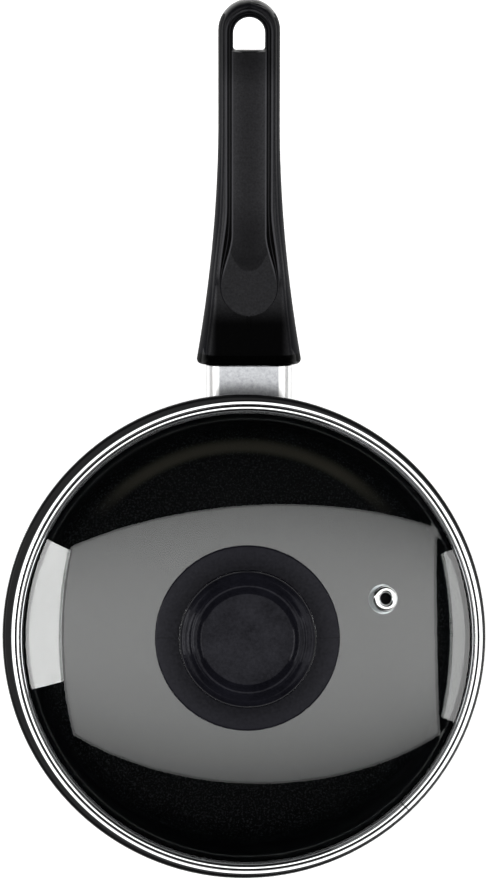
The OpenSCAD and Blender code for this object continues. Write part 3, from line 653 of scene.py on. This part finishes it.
def aluminisedSteel():
    # hot-dipped aluminised sheet: pale grey, finely mottled on its flat, with a painted highlight
    # on its flanks
    look = ferruleLook
    material, tree, shader, place = startMaterial("aluminisedSteel", {"Metallic": 1,
                                                                      "Roughness": 0.34})
    mottle = addNode(tree, "ShaderNodeTexNoise", {
        "Vector": place, "Detail": 3, "Roughness": 0.7,
        "Scale": 1 / (look["mottle"] * mm)}).outputs["Fac"]
    flatColour = addNode(tree, "ShaderNodeMix", {0: mottle, 6: toLinear(look["flat"][0]),
                                                 7: toLinear(look["flat"][1])}, data_type="RGBA")
    guardLow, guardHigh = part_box("flame_guard")
    axes = aboutAxis(tree, place, ((guardLow.x + guardHigh.x) / 2, 0, 0))[0]
    aside = addNode(tree, "ShaderNodeMath", {0: axes.outputs["X"]}, operation="ABSOLUTE")
    share = addNode(tree, "ShaderNodeMapRange", {"Value": aside, **stretch(*look["span"])})
    flankHighlight = addNode(tree, "ShaderNodeValToRGB", {0: share})
    setStops(flankHighlight.color_ramp, look["span"],
             [(at, toLinear(shade)) for at, shade in look["flankHighlightStops"]])
    # painted highlight on the flanks
    colour = addNode(tree, "ShaderNodeMix", {0: flankHighlight, 6: flatColour.outputs[2],
                                             7: toLinear(look["flank"])}, data_type="RGBA")
    tree.links.new(colour.outputs[2], shader.inputs["Base Color"])
    bump = addNode(tree, "ShaderNodeBump", {"Height": mottle, "Strength": 0.25,
                                            "Distance": 0.05 * mm})
    tree.links.new(bump.outputs[0], shader.inputs["Normal"])
    return material


hazyLooks = {
    # bright zinc on steel: cool grey with a slight blue cast
    "brightZinc": {"shader": {"Metallic": 1, "Roughness": 0.3}, "haze": 2,
                   "colours": ("#b4b8bd", "#cfd2d6")},
    # free-cutting brass, turned: warm yellow
    "turnedBrass": {"shader": {"Metallic": 1, "Roughness": 0.28}, "haze": 2,
                    "colours": ("#b8913f", "#d4b468")},
    # moulded silicone rubber: soft black with a dull skin
    "blackSilicone": {"shader": {"Roughness": 0.6}, "haze": 1.5,
                      "colours": ("#141415", "#222224")},
}


def hazyFinish(name):
    # one of the plain finishes of the fixings, clouded between two close colours
    look = hazyLooks[name]
    material, tree, shader, place = startMaterial(name, look["shader"])
    haze = addNode(tree, "ShaderNodeTexNoise", {"Vector": place, "Detail": 2,
                                                "Scale": 1 / (look["haze"] * mm)}).outputs["Fac"]
    colour = addNode(tree, "ShaderNodeMix", {0: haze, 6: toLinear(look["colours"][0]),
                                             7: toLinear(look["colours"][1])}, data_type="RGBA")
    tree.links.new(colour.outputs[2], shader.inputs["Base Color"])
    return material


def temperedGlass():
    # tempered soda-lime glass: clear with a trace of green, and it lets the lamps through
    material, tree, shader, place = startMaterial("temperedGlass", {
        "Base Color": toLinear("#f4f7f5"), "Roughness": 0, "IOR": 1.6, "Transmission Weight": 1})
    rays = addNode(tree, "ShaderNodeLightPath")
    clear = addNode(tree, "ShaderNodeBsdfTransparent", {"Color": toLinear("#f2f7f5")})
    lampRays = addNode(tree, "ShaderNodeMath", {0: rays.outputs["Is Shadow Ray"],
                                                1: rays.outputs["Is Diffuse Ray"]},
                       operation="MAXIMUM")
    surface = addNode(tree, "ShaderNodeMixShader", {0: lampRays, 1: shader, 2: clear})
    out = next(node for node in tree.nodes if node.type == "OUTPUT_MATERIAL")
    tree.links.new(surface.outputs[0], out.inputs["Surface"])
    return material


panFinishes = [blackEnamel(), nonStickInside(), bareAluminium()]
handleFinishes = [handlePhenolic("satinPhenolic", rough=0.3, sheen=0.2),
                  handlePhenolic("mattePhenolic", rough=0.5, sheen=0.02)]
zinc, brass = hazyFinish("brightZinc"), hazyFinish("turnedBrass")
nodeFinishes = {
    "flame_guard": aluminisedSteel(),
    "handle_bracket": zinc,
    "handle_screw": zinc,
    "handle_lock_washer": zinc,
    "handle_insert": brass,
    "lid_glass": temperedGlass(),
    "lid_rim": rolledStainless("buffedStainlessBand", folded=True),
    "vent_eyelet": rolledStainless("buffedStainless", folded=False),
    "vent_washer": zinc,
    "knob": glossPhenolic(),
    "knob_insert": brass,
    "lid_gasket": hazyFinish("blackSilicone"),
    "lid_washer": zinc,
    "lid_spring_washer": zinc,
    "lid_screw": zinc,
}
print("finishes made")


cadFinish = {
    "weld": 0.002,              # mm between corners that are one
    "edge": 32,                 # degrees from which an edge stays sharp
}


def smoothCad(node):
    # joins a CAD node's loose triangles and keeps its sharp edges, by modifiers alone
    node.data.shade_smooth()
    weld = node.modifiers.new("joinTriangles", "WELD")
    weld.merge_threshold = cadFinish["weld"] * mm
    split = node.modifiers.new("keepEdges", "EDGE_SPLIT")
    split.split_angle = radians(cadFinish["edge"])


def dress(node, materials):
    node.data.materials.clear()
    for material in materials:
        node.data.materials.append(material)


def dressHandle(node):
    # the sides and the underside are matte, where no hand polishes them
    dress(node, handleFinishes)
    aside, upwards = handleLook["matteFrom"]
    for face in node.data.polygons:
        if abs(face.normal.x) > aside or face.normal.z < upwards:
            face.material_index = 1


panLook = {
    # mm
    "baseR": 74.5,              # the bare ring-turned base,
    "baseTop": 0.6,             # and how far up its rings reach
    "lip": 4.2,                 # width of the rolled lip, which is enamelled
    # how far a face is turned: towards the axis, or upwards, to be the pan's inside
    "inward": 0.05,
    "upward": 0.3,
}


def dressPan(node):
    # the pan has three finishes: enamel outside, non-stick inside, bare metal under the base
    dress(node, panFinishes)
    for face in node.data.polygons:
        centre, normal = face.center, face.normal
        reach = Vector((centre.x, centre.y, 0))
        inward = reach.length > 0 and normal.dot(reach.normalized()) < -panLook["inward"]
        onBase = centre.z < panLook["baseTop"] * mm and reach.length < panLook["baseR"] * mm
        withinLip = reach.length < rimR - panLook["lip"] * mm
        if onBase:
            face.material_index = 2
        elif withinLip and (inward or normal.z > panLook["upward"]):
            face.material_index = 1


for nodeName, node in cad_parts.items():
    smoothCad(node)
    if nodeName in nodeFinishes:
        dress(node, [nodeFinishes[nodeName]])
dressHandle(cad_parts["handle"])
dressPan(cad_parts["pan_body"])
print("CAD nodes dressed")
